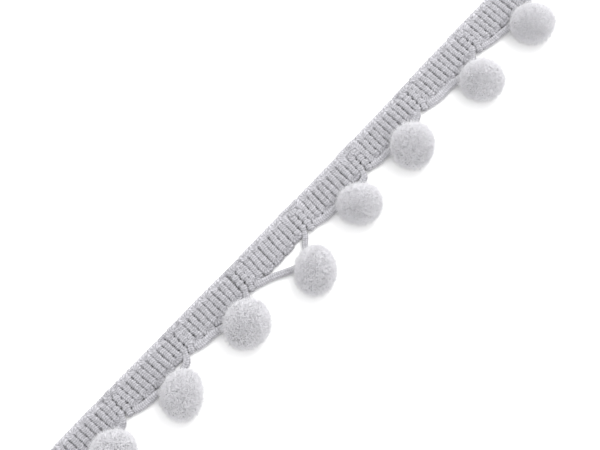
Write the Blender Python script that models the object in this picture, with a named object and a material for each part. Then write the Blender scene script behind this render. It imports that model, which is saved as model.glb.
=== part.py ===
"""Pompom fringe trim, lying flat.

A narrow braid, made of one round knit cord laid back and forth, carries a clipped yarn ball on a
loop of the same cord every 24 mm. +X runs along the braid, +Y points from the balls to the braid
and +Z is up. The origin is under the middle of the whole trim, on the surface that it lies on.
"""

import math
from collections import namedtuple

import bmesh
import bpy
from mathutils import Vector, noise

MM = 0.001
NEARLY = 0.001 * MM
SMOOTH_UP_TO_DEG = 50.0

# The braid: one rib for each pass of the cord across it
RIB_PITCH = 2.0 * MM
RIBS_PER_REPEAT = 12
REPEATS = 8
END_RIBS = 2
BRAID_HALF_WIDTH = 4.5 * MM
BRAID_HEIGHT = 1.8 * MM
SLIT_FLOOR = 0.95 * MM
CLOSED_SLIT_FULLNESS = 0.7
EDGE_HEIGHT = 0.85 * MM
LOWER_SCALLOP = 0.3 * MM
UPPER_SCALLOP = 0.1 * MM
SOLE_INSET = 0.35 * MM

# Where the loop cord leaves the braid, once a repeat
HAIRPIN_HALF_WIDTH = 1.1 * MM
HAIRPIN_DROP = 0.65 * MM
HAIRPIN_NOTCH = 0.5 * MM
HAIRPIN_LUMP = 0.12 * MM
LUMPY_HALF_WIDTH = 1.65 * MM
UPPER_BULGE = 0.15 * MM
BULGE_LENGTH = 1.5 * MM
TUCK_DEPTH = 1.1 * MM
TUCK_LENGTH = 5.2 * MM

# The loop cord
CORD_DIAMETER = 1.8 * MM
LOOP_START = 1.5 * MM
LOOP_POINTS = 9
REST_GAP = 0.1 * MM
EDGE_GAP = 0.35 * MM
SEAT_GAP = 0.3 * MM
ENTRY_SLOPE_DEG = -24.0
ENTRY_TURN_DEG = 24.0
START_DROP_SHARE = 0.25
ARRIVAL_SLOPE_SHARE = 0.5

# The yarn balls
BALL_FLAT_BAND = 0.4 * MM
TUFT_RELIEF = 0.28 * MM
TUFT_UNEVENNESS = 0.12 * MM
TUFT_CHANGE = 3.0
BALL_TURN_DEG = 42.0
TIP_MATCH = 0.9999

REPEAT = RIB_PITCH * RIBS_PER_REPEAT
RIB_COUNT = REPEATS * RIBS_PER_REPEAT + 2 * END_RIBS
BRAID_LENGTH = RIB_COUNT * RIB_PITCH
FIRST_CROSSING = -REPEATS * REPEAT / 2
BRAID_START = FIRST_CROSSING - END_RIBS * RIB_PITCH

# One row for each ball, from -X to +X, in millimetres and degrees: how far it lies past the
# crossing on its left, how far out from the braid's middle line, its size along its long line,
# across it and upwards, and the directions from +X in which its two cords enter it.
Ball = namedtuple("Ball", "along out long broad high left_deg right_deg")
BALLS = [
    Ball(12.5, 9.5, 12.2, 12.2, 11.8, 147, 33),
    Ball(12.4, 11.9, 13.6, 10.6, 10.8, 116, 50),
    Ball(14.6, 11.7, 14.0, 12.4, 12.0, 128, 52),
    Ball(14.8, 14.9, 13.3, 10.8, 11.0, 122, 62),
    Ball(13.2, 10.9, 11.0, 12.2, 11.0, 131, 48),
    Ball(12.0, 10.3, 12.4, 11.9, 11.6, 137, 42),
    Ball(16.0, 11.6, 11.2, 12.2, 11.2, 122, 58),
    Ball(14.7, 10.9, 11.3, 12.0, 11.2, 127, 48),
]

# How far the laid braid wanders from a straight line, in millimetres, at places along it
Bend = namedtuple("Bend", "along aside")
BENDS = [
    Bend(-101, 0.20),
    Bend(-80, 0.25),
    Bend(-50, 0.05),
    Bend(-15, -0.20),
    Bend(15, -0.40),
    Bend(35, -0.25),
    Bend(60, 0.20),
    Bend(85, 0.35),
    Bend(101, 0.30),
]

# Half of the braid's cross-section: distance in from the edge and height at a rib's crown
EdgeRow = namedtuple("EdgeRow", "inset height")
EDGE_ROWS = [
    EdgeRow(0.0, EDGE_HEIGHT),
    EdgeRow(0.4 * MM, 1.55 * MM),
    EdgeRow(1.4 * MM, BRAID_HEIGHT),
]
ROW_COUNT = 2 * len(EDGE_ROWS) + 1
MIDDLE_ROW = ROW_COUNT // 2

# The columns of points that make one rib, from the slit on its left, and how full it is at each
RibColumn = namedtuple("RibColumn", "offset fullness")
RIB_COLUMNS = [
    RibColumn(0.0, 0.0),
    RibColumn(0.45 * MM, 0.8),
    RibColumn(1.0 * MM, 1.0),
    RibColumn(1.55 * MM, 0.8),
]


def eased(low, high, share):
    """A smooth step from low to high."""
    return low + (high - low) * (0.5 - 0.5 * math.cos(math.pi * share))


def bend_at(x):
    """The braid's wander at x, in metres."""
    for left, right in zip(BENDS, BENDS[1:]):
        if x <= right.along * MM:
            share = (x / MM - left.along) / (right.along - left.along)
            return eased(left.aside, right.aside, share) * MM
    return BENDS[-1].aside * MM


def ball_reach(ball):
    """How far a ball reaches from its centre along Y."""
    turn = math.radians(BALL_TURN_DEG)
    return math.hypot(ball.long * math.sin(turn), ball.broad * math.cos(turn)) / 2 * MM


def braid_middle():
    """The Y of the braid's middle line that puts the origin under the middle of the whole trim."""
    top = BRAID_HALF_WIDTH + UPPER_BULGE + max(bend.aside for bend in BENDS) * MM
    bottom = max(ball.out * MM + ball_reach(ball) for ball in BALLS)
    return (bottom - top) / 2


BRAID_Y = braid_middle()


def from_crossing(x):
    """The signed distance from x to the nearest crossing."""
    return (x - FIRST_CROSSING + REPEAT / 2) % REPEAT - REPEAT / 2


def rib_wave(x):
    """A wave along the braid that peaks at each even slit, counted from a crossing."""
    return math.cos(math.pi * (x - FIRST_CROSSING) / RIB_PITCH)


def lower_limit(x):
    """The Y that the cord's turns reach on the balls' side, drawn in where the loops leave."""
    tuck = TUCK_DEPTH * math.exp(-((from_crossing(x) / TUCK_LENGTH) ** 2))
    return BRAID_Y + bend_at(x) - BRAID_HALF_WIDTH + tuck


def lower_edge(x):
    """The Y of the scalloped edge on the balls' side, with the hairpins that stand out of it."""
    away = abs(from_crossing(x))
    if away < HAIRPIN_HALF_WIDTH:
        notch = HAIRPIN_NOTCH * max(0.0, 1 - 2 * away / HAIRPIN_HALF_WIDTH)
        return BRAID_Y + bend_at(x) - BRAID_HALF_WIDTH - HAIRPIN_DROP + notch
    return lower_limit(x) + LOWER_SCALLOP * (1 - rib_wave(x))


def upper_edge(x):
    """The Y of the braid's far edge."""
    bulge = UPPER_BULGE * math.exp(-((from_crossing(x) / BULGE_LENGTH) ** 2))
    scallop = UPPER_SCALLOP * (rib_wave(x) + 1)
    return BRAID_Y + bend_at(x) + BRAID_HALF_WIDTH - scallop + bulge


def slit_is_open(slit, row):
    """Whether a slit still parts its ribs at a row: it closes at one edge, where the cord turns."""
    if row in (0, 1):
        return slit % 2 != 0 or slit % RIBS_PER_REPEAT == 0
    if row in (ROW_COUNT - 2, ROW_COUNT - 1):
        return slit % 2 == 0
    return True


def braid_point(column, row):
    """Where one point of the braid's top goes."""
    rib, step = divmod(column, len(RIB_COLUMNS))
    x = BRAID_START + rib * RIB_PITCH + RIB_COLUMNS[step].offset
    low = lower_edge(x)
    high = upper_edge(x)
    if row == MIDDLE_ROW:
        y = (low + high) / 2
        crown = BRAID_HEIGHT
    else:
        inset, crown = EDGE_ROWS[min(row, ROW_COUNT - 1 - row)]
        y = low + inset if row < MIDDLE_ROW else high - inset
    floor = min(SLIT_FLOOR, crown)
    fullness = RIB_COLUMNS[step].fullness
    if not slit_is_open(rib - END_RIBS, row):
        fullness = max(fullness, CLOSED_SLIT_FULLNESS)
    z = floor + (crown - floor) * fullness
    if abs(from_crossing(x)) < LUMPY_HALF_WIDTH and 1 < row < ROW_COUNT - 2:
        z += HAIRPIN_LUMP if row % 2 else -HAIRPIN_LUMP
    return Vector((x, y, z))


def make_material(name, colour, roughness):
    material = bpy.data.materials.new(name)
    material.use_nodes = True
    shader = material.node_tree.nodes["Principled BSDF"]
    shader.inputs["Base Color"].default_value = (*colour, 1)
    shader.inputs["Roughness"].default_value = roughness
    shader.inputs["Metallic"].default_value = 0
    return material


def add_mesh_object(name, bm, collection, material):
    """A smooth-shaded object from a finished bmesh."""
    bmesh.ops.recalc_face_normals(bm, faces=bm.faces)
    mesh = bpy.data.meshes.new(name)
    bm.to_mesh(mesh)
    bm.free()
    mesh.materials.append(material)
    mesh.shade_smooth()
    mesh.set_sharp_from_angle(angle=math.radians(SMOOTH_UP_TO_DEG))
    collection.objects.link(bpy.data.objects.new(name, mesh))


def make_braid(collection, material):
    """A grid shaped into ribs, given side walls down to a flat sole."""
    bm = bmesh.new()
    columns = RIB_COUNT * len(RIB_COLUMNS)
    bmesh.ops.create_grid(bm, x_segments=columns, y_segments=ROW_COUNT - 1, size=0.5)
    for vert in bm.verts:
        column = round((vert.co.x + 0.5) * columns)
        row = round((vert.co.y + 0.5) * (ROW_COUNT - 1))
        vert.co = braid_point(column, row)
    rim = [edge for edge in bm.edges if edge.is_boundary]
    walls = bmesh.ops.extrude_edge_only(bm, edges=rim)["geom"]
    for vert in [part for part in walls if isinstance(part, bmesh.types.BMVert)]:
        middle = (lower_edge(vert.co.x) + upper_edge(vert.co.x)) / 2
        on_side = vert.co.z < EDGE_HEIGHT + NEARLY
        on_end = abs(vert.co.x) > BRAID_LENGTH / 2 - NEARLY
        if on_side:
            vert.co.y -= math.copysign(SOLE_INSET, vert.co.y - middle)
        if on_end:
            vert.co.x -= math.copysign(SOLE_INSET, vert.co.x)
        vert.co.z = 0
    sole_edges = [edge for edge in bm.edges if edge.is_boundary]
    bmesh.ops.contextual_create(bm, geom=sole_edges)
    add_mesh_object("header_braid", bm, collection, material)


def ball_centre(index, ball):
    x = FIRST_CROSSING + index * REPEAT + ball.along * MM
    return Vector((x, BRAID_Y - ball.out * MM, ball.high * MM / 2))


def ball_radius(ball, direction):
    """How far the ball's outer surface is from its centre in a unit direction."""
    turn = math.radians(BALL_TURN_DEG)
    along = direction.x * math.cos(turn) + direction.y * math.sin(turn)
    across = direction.y * math.cos(turn) - direction.x * math.sin(turn)
    shares = (along / ball.long, across / ball.broad, direction.z / ball.high)
    return 0.5 * MM / math.sqrt(sum(share * share for share in shares))


def tuft_tips():
    """Directions of a ball's tufts, the high spots of its clipped pile, evenly spread."""
    coarse = bmesh.new()
    bmesh.ops.create_icosphere(coarse, subdivisions=2, radius=1)
    tips = [vert.co.normalized() for vert in coarse.verts]
    coarse.free()
    return tips


def make_ball(index, ball, collection, material):
    """A clipped yarn ball: tufts raised a little in a sphere's points, and a small flat foot."""
    bm = bmesh.new()
    bmesh.ops.create_icosphere(bm, subdivisions=3, radius=1)
    centre = ball_centre(index, ball)
    tips = tuft_tips()
    for vert in bm.verts:
        direction = vert.co.normalized()
        reach = ball_radius(ball, direction)
        if max(direction.dot(tip) for tip in tips) > TIP_MATCH:
            uneven = noise.noise(direction * TUFT_CHANGE + Vector((index, 0, 0)))
            reach -= TUFT_UNEVENNESS * abs(uneven)
        else:
            reach -= TUFT_RELIEF
        vert.co = centre + direction * reach
        if vert.co.z < BALL_FLAT_BAND:
            vert.co.z = 0
    add_mesh_object(f"pompom_{index + 1}", bm, collection, material)


def cubic(start, leave, arrive, end, t):
    """A point of the cubic curve with these four control points."""
    u = 1 - t
    return start * u**3 + leave * 3 * u * u * t + arrive * 3 * u * t * t + end * t**3


def loop_route(index, ball, side):
    """Points from the crossing at the braid's edge to the ball's surface, along one cord.

    side is -1 for the cord on the ball's left and 1 for the one on its right.
    """
    radius = CORD_DIAMETER / 2
    clearance = radius + EDGE_GAP
    crossing = FIRST_CROSSING + (index if side < 0 else index + 1) * REPEAT
    start_x = crossing - side * LOOP_START
    start = Vector((start_x, lower_limit(start_x) - clearance, radius + REST_GAP))
    azimuth = math.radians(ball.left_deg if side < 0 else ball.right_deg)
    slope = math.radians(ENTRY_SLOPE_DEG)
    level = math.cos(slope)
    outward = Vector((math.cos(azimuth) * level, math.sin(azimuth) * level, math.sin(slope)))
    lean = math.radians(ENTRY_TURN_DEG)
    seat = ball_radius(ball, outward) + SEAT_GAP + radius * math.sin(lean)
    end = ball_centre(index, ball) + outward * seat
    third = (end - start).length / 3
    leave = start + Vector((-side, -START_DROP_SHARE, 0)) * third
    turned = azimuth - side * lean
    rise = ARRIVAL_SLOPE_SHARE * outward.z
    arrive = end + Vector((math.cos(turned), math.sin(turned), rise)) * third
    points = []
    for step in range(LOOP_POINTS):
        place = cubic(start, leave, arrive, end, step / (LOOP_POINTS - 1))
        place.y = min(place.y, lower_limit(place.x) - clearance)
        points.append(place)
    return points


def make_loop_cord(index, ball, side, collection, material):
    """One leg of the loop cord, from the braid's edge to a ball."""
    name = f"loop_{'left' if side < 0 else 'right'}_{index + 1}"
    curve = bpy.data.curves.new(name, "CURVE")
    curve.dimensions = "3D"
    curve.bevel_depth = CORD_DIAMETER / 2
    curve.bevel_resolution = 2
    curve.use_fill_caps = True
    route = loop_route(index, ball, side)
    spline = curve.splines.new("POLY")
    spline.points.add(len(route) - 1)
    for point, place in zip(spline.points, route):
        point.co = (*place, 1)
    spline.use_smooth = True
    curve.materials.append(material)
    collection.objects.link(bpy.data.objects.new(name, curve))


def main():
    for old in list(bpy.data.objects):
        bpy.data.objects.remove(old, do_unlink=True)
    collection = bpy.data.collections.new("pompom_fringe_trim")
    bpy.context.scene.collection.children.link(collection)
    braid_cord = make_material("braid_cord", (0.60, 0.60, 0.63), 0.85)
    loop_cord = make_material("loop_cord", (0.62, 0.62, 0.65), 0.85)
    ball_pile = make_material("ball_pile", (0.58, 0.58, 0.60), 0.95)
    make_braid(collection, braid_cord)
    for index, ball in enumerate(BALLS):
        make_ball(index, ball, collection, ball_pile)
        for side in (-1, 1):
            make_loop_cord(index, ball, side, collection, loop_cord)


main()
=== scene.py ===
"""Pompom fringe trim: the looks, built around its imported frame.

One soft knit cord is laid back and forth into a narrow braid and pinched by rows of binding thread.
A second cord runs up and down the braid once a repeat, and between those places it carries a
clipped yarn pompom. Everything is in metres, with +X along the braid and +Z up.
"""

import math
from collections import namedtuple

import bmesh
import bpy
import numpy as np
from bpy.props import FloatProperty, FloatVectorProperty, IntProperty, PointerProperty
from mathutils import Matrix, Vector, noise


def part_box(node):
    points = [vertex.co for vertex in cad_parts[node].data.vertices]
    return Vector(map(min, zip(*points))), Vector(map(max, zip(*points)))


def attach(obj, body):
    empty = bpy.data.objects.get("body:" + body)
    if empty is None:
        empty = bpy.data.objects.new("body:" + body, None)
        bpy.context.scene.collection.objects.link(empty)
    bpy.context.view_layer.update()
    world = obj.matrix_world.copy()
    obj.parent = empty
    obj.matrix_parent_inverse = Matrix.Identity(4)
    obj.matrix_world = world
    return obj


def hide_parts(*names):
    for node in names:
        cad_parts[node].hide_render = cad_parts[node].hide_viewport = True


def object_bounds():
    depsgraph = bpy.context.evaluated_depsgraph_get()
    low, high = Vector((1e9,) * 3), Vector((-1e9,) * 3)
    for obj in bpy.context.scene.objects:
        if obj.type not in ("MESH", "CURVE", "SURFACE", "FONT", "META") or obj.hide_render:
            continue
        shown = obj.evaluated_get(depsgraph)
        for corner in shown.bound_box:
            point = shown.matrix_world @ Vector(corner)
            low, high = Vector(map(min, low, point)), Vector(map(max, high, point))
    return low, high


bl_info = {
    "name": "Pompom fringe trim",
    "version": (1, 0, 0),
    "blender": (4, 5, 0),
    "location": "View3D > Sidebar > Trim",
    "description": "Knit cord braid, binding threads, loop cords and clipped pompoms of a fringe trim",
    "category": "Object",
}

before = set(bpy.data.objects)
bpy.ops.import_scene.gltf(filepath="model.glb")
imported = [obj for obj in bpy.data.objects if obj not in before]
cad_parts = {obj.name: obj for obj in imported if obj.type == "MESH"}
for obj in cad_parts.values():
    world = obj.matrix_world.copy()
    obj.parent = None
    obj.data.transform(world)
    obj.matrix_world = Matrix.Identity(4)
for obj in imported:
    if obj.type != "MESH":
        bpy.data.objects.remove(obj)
FRAME_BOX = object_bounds()

MM = 0.001

# The braid's layout, as in the frame
POMPOM_COUNT = sum(name.startswith("pompom_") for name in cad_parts)
RIB_PITCH = 2.0 * MM
RIBS_PER_REPEAT = 12
REPEAT = RIB_PITCH * RIBS_PER_REPEAT
FIRST_CROSSING = -POMPOM_COUNT * REPEAT / 2
BRAID_END = FRAME_BOX[1].x
BRAID_Y = 7.946 * MM
LOWER_EDGE = -4.5 * MM
TUCK_DEPTH = 1.1 * MM
TUCK_LENGTH = 5.2 * MM

# How far the laid braid wanders from a straight line and how far its ribs lean along it from the
# lower edge to the upper one, in millimetres, at places along it
Bend = namedtuple("Bend", "along aside lean")
BENDS = [
    Bend(-101, 0.20, 0.10),
    Bend(-80, 0.25, 0.10),
    Bend(-50, 0.05, 0.10),
    Bend(-15, -0.20, 0.95),
    Bend(15, -0.40, 0.75),
    Bend(35, -0.25, 0.40),
    Bend(60, 0.20, 0.10),
    Bend(85, 0.35, 0.00),
    Bend(101, 0.30, 0.00),
]

# How far back the whole braid lies, the reach of its wandering along and across it, how unevenly
# thick its cord is and over what length, and the step in which its ribs are laid
LAID_BACK = 0.15 * MM
WANDER_ALONG = 2.2 * MM
WANDER_ACROSS = 3.5 * MM
THICKNESS_VARIATION = 0.1
THICKNESS_GRAIN = 0.9 * MM
PATH_STEP = 0.4 * MM

# Where the cord turns back at an edge: the level at which its ribs start to turn and the reach of
# the turn's outer side, both from the braid's middle line, and how square its corners are
EdgeTurn = namedtuple("EdgeTurn", "level outer square")
UPPER_TURN = EdgeTurn(2.45 * MM, 4.52 * MM, 8.0)
LOWER_TURN = EdgeTurn(-3.2 * MM, -4.95 * MM, 6.0)
BRIDGE_OUTER = 4.63 * MM
BRIDGE_INNER = 3.4 * MM
BRIDGE_SQUARE = 8.0
BRIDGE_OVERLAP = 0.25 * MM
HAIRPIN_ROOM = 1.5 * MM
HAIRPIN_REACH = 1.75 * MM
HAIRPIN_SQUARE = 4.5
BRIDGE_DIP = 0.42
UPPER_FALL = 0.12
LOWER_FALL = 0.22

# Rows of binding thread, from the braid's middle line, and how deep they dip between the ribs
THREAD_ROWS = [3.75 * MM, 1.9 * MM, 0.05 * MM, -1.8 * MM, -3.65 * MM]
THREAD_DIP = 0.45 * MM
BACK_THREAD_DIP = 0.4 * MM
THREAD_INSET = 0.4 * MM
PINCH_LENGTH = 0.38 * MM
PINCH_NARROWING = 0.21
PINCH_LOWERING = 0.10
CORNER_SPREAD = 0.15

# The knit surface: four wales round the cord, each with a spine, two arms and a gap, four rings to
# a stitch. A column lags behind the spine by some rings, which makes the stitches V-shaped.
SIDES = 16
RINGS_PER_STITCH = 4
COLUMN_LAG = np.array([0, 1, 2, 1])
STITCH_HEIGHT = np.array(
    [
        [-0.90, -0.30, 0.10, -0.30],
        [-0.70, 0.50, 1.00, 0.45],
        [-1.00, -0.60, -0.35, -0.60],
        [-0.70, 0.50, 1.00, 0.45],
    ]
)
SECTION_SQUARENESS = 3.8
# How strongly the stitches' height shows in the cord's colour, as painted shade low and painted highlight
# high
STITCH_PAINTED_SHADING = 0.4
# Strength of the painted highlight on the braid's upper edge and on the legs
PAINTED_HIGHLIGHT_TONE = 0.2
WELD = 1e-7

# The rounded ends of a free cord: their length in cord widths, and how far round they start
CAP_LENGTH = 0.45
CAP_START = 0.08

# Loose and stray fibres: how unevenly long they are, and the longest of each kind, the first as a
# share of the fuzz length; then the loose ones' width and seed, and the lowest place of any fibre
FIBRE_SPREAD = 1.6
LONGEST_FUZZ = 2.2
LONGEST_STRAY = 1.2 * MM
FUZZ_WIDTH = 0.05 * MM
FUZZ_SEED = 5
LOWEST_FIBRE = 0.01 * MM

# The gaps beside and between the hairpin's two passes over the braid, as distances from the crossing
# in millimetres at the levels below, and the level at which the gap between them closes
Crossing = namedtuple("Crossing", "left middle right closing")
LEFT_LEVELS = [3.0, 1.0, -1.1, -3.0]
MIDDLE_LEVELS = [3.2, 1.5, -0.4, -2.1, -3.9]
RIGHT_LEVELS = [3.0, 1.0, -1.1, -3.2]
CROSSINGS = [
    Crossing([-2.2, -2.1, -2.2, -2.2], [0.4, 0.1, 0.0, -0.1, -0.6], [2.4, 2.3, 2.1, 2.1], 2.4),
    Crossing([-2.35, -2.4, -2.4, -2.4], [0.5, -0.05, -0.35, -0.3, -1.1], [2.35, 2.0, 1.9, 2.0], 2.8),
    Crossing([-2.2, -2.1, -2.1, -2.15], [0.5, 0.1, 0.0, 0.0, -0.4], [2.6, 2.4, 2.25, 2.4], 2.6),
    Crossing([-1.6, -1.7, -2.05, -2.1], [0.8, 0.5, 0.25, 0.1, -0.2], [2.75, 2.4, 2.2, 2.1], 2.4),
    Crossing([-1.8, -2.0, -2.3, -2.2], [0.3, -0.1, -0.05, -0.3, -0.7], [2.6, 2.4, 2.0, 1.75], 1.3),
    Crossing([-1.9, -2.15, -2.45, -2.4], [0.5, 0.1, -0.2, -0.4, -0.6], [2.2, 2.0, 1.9, 1.75], 0.9),
    Crossing([-2.3, -2.25, -2.25, -2.2], [0.35, 0.2, 0.1, -0.1, -0.6], [2.4, 2.3, 2.35, 2.1], 2.5),
    Crossing([-2.2, -2.2, -2.2, -2.2], [0.1, 0.15, 0.0, 0.15, -0.4], [2.2, 2.1, 2.1, 2.35], 1.6),
    Crossing([-2.2, -2.1, -2.2, -2.2], [0.4, 0.1, 0.0, -0.1, -0.6], [2.4, 2.3, 2.1, 2.1], 2.2),
]
PASS_HEIGHT = 1.0 * MM
PASS_FILL = 0.92
BEAD_SWELL = 0.1
BEAD_PINCH = 0.27
BEAD_SHIFT = 0.25 * MM
LOWEST_LEVEL = -3.2
LEVEL_STEP = 0.7
HAIRPIN_LIFT = 0.3 * MM
BLUNT_END = [(0.35, -4.3), (0.0, -5.15)]
BLUNT_HALF_WIDTH = 1.0 * MM

# The legs of the loop cord beside each pompom: half width, then places as distances from the
# crossing along the braid and from its middle line, all in millimetres
Leg = namedtuple("Leg", "half_width places")
LEFT_LEGS = [
    Leg(0.95, [(1.2, -4.4), (3.3, -5.1), (5.3, -5.4), (7.2, -5.7)]),
    Leg(0.98, [(1.25, -4.38), (2.15, -4.58), (4.15, -5.18), (6.15, -5.48), (8.15, -5.68), (9.65, -6.08)]),
    Leg(1.05, [(1.3, -4.45), (2.65, -4.88), (4.65, -5.28), (6.65, -5.38), (8.65, -5.68), (10.15, -6.18)]),
    Leg(0.92, [(1.25, -4.58), (2.65, -4.98), (4.65, -5.68), (6.65, -6.48), (8.65, -7.48), (12.15, -9.28)]),
    Leg(1.0, [(1.3, -4.38), (2.65, -4.78), (4.65, -5.38), (6.65, -5.58), (8.65, -5.78), (9.95, -6.28)]),
    Leg(0.92, [(1.2, -4.68), (2.45, -5.18), (4.45, -5.48), (6.45, -5.58), (8.15, -5.88)]),
    Leg(1.05, [(1.3, -4.38), (2.65, -4.68), (4.65, -5.08), (6.65, -5.28), (10.65, -5.28), (14.15, -6.48)]),
    Leg(0.86, [(1.15, -4.08), (2.15, -4.38), (4.15, -4.88), (6.15, -5.18), (8.15, -5.38), (11.65, -6.38)]),
]
RIGHT_LEGS = [
    Leg(1.02, [(-2.85, -4.48), (-4.85, -5.08), (-6.85, -5.78)]),
    Leg(1.0, [(-2.55, -5.28), (-3.85, -5.98), (-5.35, -6.48)]),
    Leg(0.95, [(-2.65, -5.38), (-3.85, -5.98)]),
    Leg(0.78, [(-2.65, -5.18), (-4.35, -6.58), (-5.75, -8.18), (-6.25, -9.18)]),
    Leg(0.95, [(-2.55, -5.48), (-4.05, -6.08), (-5.35, -6.58)]),
    Leg(0.98, [(-3.15, -4.58), (-5.05, -4.98), (-6.85, -5.48)]),
    Leg(0.95, [(-3.35, -4.68), (-5.35, -5.48)]),
    Leg(0.95, [(-3.3, -5.0), (-5.2, -5.8)]),
]
ENTRY_SLOPE_DEG = -24.0
LEG_HEIGHT = 0.95 * MM
LEG_SINK = 1.6 * MM
LEG_ENTRY_DEPTH = 0.4 * MM
LEG_NEAREST = 1.2 * MM
LEG_RELIEF = 0.7
# How much painted highlight the loop cord's legs get
LEG_PAINTED_HIGHLIGHT = 0.2
BALL_TURN_DEG = 42.0

# Where a pompom is clipped fuller or shorter than its plain shape: direction from +X and amount in
# millimetres
Swell = namedtuple("Swell", "facing_deg amount")
SWELL_WIDTH = math.radians(38)
SWELLS = [
    [Swell(5, 0.9)],
    [Swell(8, 1.1), Swell(262, 0.2)],
    [Swell(8, 0.7), Swell(248, -1.0)],
    [Swell(35, 0.6), Swell(195, 0.5)],
    [Swell(0, 0.5), Swell(218, -0.4)],
    [Swell(8, 0.5), Swell(235, 0.3)],
    [Swell(20, 0.3), Swell(285, 0.2)],
    [Swell(-18, 0.6), Swell(205, -0.3)],
]

# How far the fibres of a tuft lean together and at random, and the pompom's core: its depth under
# the clipped surface, its lumps and its lowest place
GATHER = 0.3
TANGLE = 0.07
CORE_DEPTH = 0.45 * MM
CORE_SUBDIVISIONS = 5
LUMPINESS = 6.0
LUMP_HEIGHT = 0.1 * MM
LOWEST_CORE = 0.02 * MM

# The tones of the pile: of the darkest and the palest tuft, how much a fibre differs from its
# neighbours, and as shares of these the tone of a stray, a painted shade, and of a fibre's inner end,
# a painted shade deep in the pile; then the core's painted shade
TUFT_TONES = (0.35, 0.70)
FIBRE_TONE = 0.15
STRAY_PAINTED_SHADE = 0.9
INNER_PAINTED_SHADE = 0.75
CORE_PAINTED_SHADE = 0.25

# Ramps of the finishes: positions with factors of the cord's colour, which paint shade between the
# stitches and highlight on their crowns, and positions with tints
STITCH_PAINTED_SHADES = [(0, 0.48), (0.66, 1.12), (1, 1.5)]
CORD_SPECKLE = [(0.3, (0.78, 0.78, 0.78)), (0.7, (1.18, 1.18, 1.18))]
PILE_MOTTLE = [(0.35, (0.94, 0.94, 0.94)), (0.65, (1.02, 1.02, 1.02))]

# The middle of the view, and the key light's place from it: up the view, to its right and above
VIEW_TARGET = Vector((-0.85 * MM, BRAID_Y - 1.58 * MM, 0))
KEY_PLACE = (0.62, 0.38, 1.05)
KEY_SIZE = 0.75
FLOOR_SIZE = 6.0


def eased(low, high, share):
    """A smooth step from low to high."""
    return low + (high - low) * (0.5 - 0.5 * math.cos(math.pi * share))


def bend_at(x, part="aside"):
    """The braid's wander, or its ribs' lean, at x, in metres."""
    for left, right in zip(BENDS, BENDS[1:]):
        if x <= right.along * MM:
            share = (x / MM - left.along) / (right.along - left.along)
            return eased(getattr(left, part), getattr(right, part), share) * MM
    return getattr(BENDS[-1], part) * MM


def laid(x, aside):
    """The place in the frame of a point of the braid that was laid straight."""
    leaning = bend_at(x, "lean") * aside / (-2 * LOWER_EDGE)
    return x + leaning - LAID_BACK, BRAID_Y + bend_at(x) + aside


def from_crossing(x):
    """The signed distance from x to the nearest crossing."""
    return (x - FIRST_CROSSING + REPEAT / 2) % REPEAT - REPEAT / 2


def tuck_at(x):
    """How far the braid's lower edge is drawn in at x."""
    return TUCK_DEPTH * math.exp(-((from_crossing(x) / TUCK_LENGTH) ** 2))


def pinch_at(aside, shift=0.0):
    """How hard the binding threads pinch the cord at a distance from the middle line, 0 to 1."""
    return sum(np.exp(-(((aside - shift - row) / PINCH_LENGTH) ** 2)) for row in THREAD_ROWS)


def wander(seed, x, y, size):
    """A small smooth unevenness of position."""
    return size * noise.noise(Vector((x / WANDER_ALONG + seed, y / WANDER_ACROSS, seed)))


Rings = namedtuple("Rings", "centre side up wide tall")
"""Cross-sections along a cord: middle points, sideways and upwards directions, half sizes."""


def resampled(columns, settings):
    """Rows of numbers along a path, x, y and z first, given again at every ring of the knit."""
    rows = np.array(columns, float)
    run = np.linalg.norm(np.diff(rows[:, :3], axis=0), axis=1)
    length = np.concatenate([[0], np.cumsum(run)])
    count = max(8, round(length[-1] / (settings.stitch_length / RINGS_PER_STITCH)))
    at = np.linspace(0, length[-1], count + 1)
    return np.stack([np.interp(at, length, column) for column in rows.T], axis=1)


def smooth_path(points, steps=12):
    """Points of a smooth curve through the given ones."""
    rows = np.array(points, float)
    ends = np.concatenate([[2 * rows[0] - rows[1]], rows, [2 * rows[-1] - rows[-2]]])
    path = []
    for a, b, c, d in zip(ends, ends[1:], ends[2:], ends[3:]):
        for t in np.arange(steps) / steps:
            cubic = 2 * b + (c - a) * t + (2 * a - 5 * b + 4 * c - d) * t * t
            path.append((cubic + (3 * b - a - 3 * c + d) * t**3) / 2)
    path.append(rows[-1])
    return path


def squarish(share):
    """A cosine or a sine, pushed outwards so that the cord's section is nearly square."""
    return np.sign(share) * np.abs(share) ** (2 / SECTION_SQUARENESS)


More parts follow.
